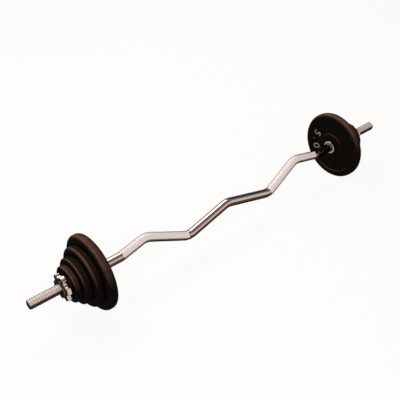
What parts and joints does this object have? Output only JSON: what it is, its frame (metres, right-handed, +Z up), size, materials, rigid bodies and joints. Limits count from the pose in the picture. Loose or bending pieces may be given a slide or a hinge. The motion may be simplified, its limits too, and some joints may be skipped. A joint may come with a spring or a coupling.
{
  "type": "ez curl bar with plates",
  "caption": "Zigzag chromed curl bar with threaded sleeves, graded cast-iron plates and star lock nuts, for curls and presses.",
  "frame": {"origin": "on the floor under the middle of the bar, as it rests on its two largest plates", "axes": "+X along the bar towards the right-hand sleeve, +Z up, +Y away from the picture's side"},
  "size_m": [1.2, 0.2, 0.2],
  "materials": {
    "chromed_steel": "polished chrome plate on bent steel rod, knurled on the grips",
    "black_cast_iron": "semi-gloss black enamel on cast iron",
    "black_rubber": "matt moulded rubber",
    "chromed_iron": "chrome plate on a casting"
  },
  "bodies": {
    "bar": {"bar": "chromed_steel", "inner_collar_left": "chromed_steel", "inner_collar_right": "chromed_steel"},
    "plate_large_left": {"plate_large_left": "black_cast_iron"},
    "plate_medium_left": {"plate_medium_left": "black_cast_iron"},
    "plate_small_left": {"plate_small_left": "black_cast_iron"},
    "plate_mini_left": {"plate_mini_left": "black_cast_iron"},
    "rubber_ring_left": {"rubber_ring_left": "black_rubber"},
    "star_nut_left": {"star_nut_left": "chromed_iron"},
    "plate_large_right": {"plate_large_right": "black_cast_iron"},
    "plate_medium_right": {"plate_medium_right": "black_cast_iron"},
    "plate_small_right": {"plate_small_right": "black_cast_iron"},
    "plate_mini_right": {"plate_mini_right": "black_cast_iron"},
    "rubber_ring_right": {"rubber_ring_right": "black_rubber"},
    "star_nut_right": {"star_nut_right": "chromed_iron"}
  },
  "joints": [
    {"name": "plate_large_left_turn", "type": "hinge", "parent": "bar", "child": "plate_large_left", "pos_m": [-0.42945, 0, 0.1], "axis": [1, 0, 0], "continuous": true},
    {"name": "plate_medium_left_turn", "type": "hinge", "parent": "bar", "child": "plate_medium_left", "pos_m": [-0.4525, 0, 0.1], "axis": [1, 0, 0], "continuous": true},
    {"name": "plate_small_left_turn", "type": "hinge", "parent": "bar", "child": "plate_small_left", "pos_m": [-0.4731, 0, 0.1], "axis": [1, 0, 0], "continuous": true},
    {"name": "plate_mini_left_turn", "type": "hinge", "parent": "bar", "child": "plate_mini_left", "pos_m": [-0.4913, 0, 0.1], "axis": [1, 0, 0], "continuous": true},
    {"name": "nut_travel_left", "type": "slide", "parent": "bar", "child": "rubber_ring_left", "axis": [-1, 0, 0], "range_m": [0, 0.104]},
    {"name": "nut_turn_left", "type": "hinge", "parent": "rubber_ring_left", "child": "star_nut_left", "pos_m": [-0.5077, 0, 0.1], "axis": [-1, 0, 0], "range_deg": [0, 5760]},
    {"name": "plate_large_right_turn", "type": "hinge", "parent": "bar", "child": "plate_large_right", "pos_m": [0.42945, 0, 0.1], "axis": [1, 0, 0], "continuous": true},
    {"name": "plate_medium_right_turn", "type": "hinge", "parent": "bar", "child": "plate_medium_right", "pos_m": [0.4525, 0, 0.1], "axis": [1, 0, 0], "continuous": true},
    {"name": "plate_small_right_turn", "type": "hinge", "parent": "bar", "child": "plate_small_right", "pos_m": [0.4731, 0, 0.1], "axis": [1, 0, 0], "continuous": true},
    {"name": "plate_mini_right_turn", "type": "hinge", "parent": "bar", "child": "plate_mini_right", "pos_m": [0.4913, 0, 0.1], "axis": [1, 0, 0], "continuous": true},
    {"name": "nut_travel_right", "type": "slide", "parent": "bar", "child": "rubber_ring_right", "axis": [1, 0, 0], "range_m": [0, 0.104]},
    {"name": "nut_turn_right", "type": "hinge", "parent": "rubber_ring_right", "child": "star_nut_right", "pos_m": [0.5077, 0, 0.1], "axis": [1, 0, 0], "range_deg": [0, 5760]}
  ],
  "couplings": [
    {"joint": "nut_travel_left", "follows": "nut_turn_left", "m_per_rad": 0.0010345},
    {"joint": "nut_travel_right", "follows": "nut_turn_right", "m_per_rad": 0.0010345}
  ]
}
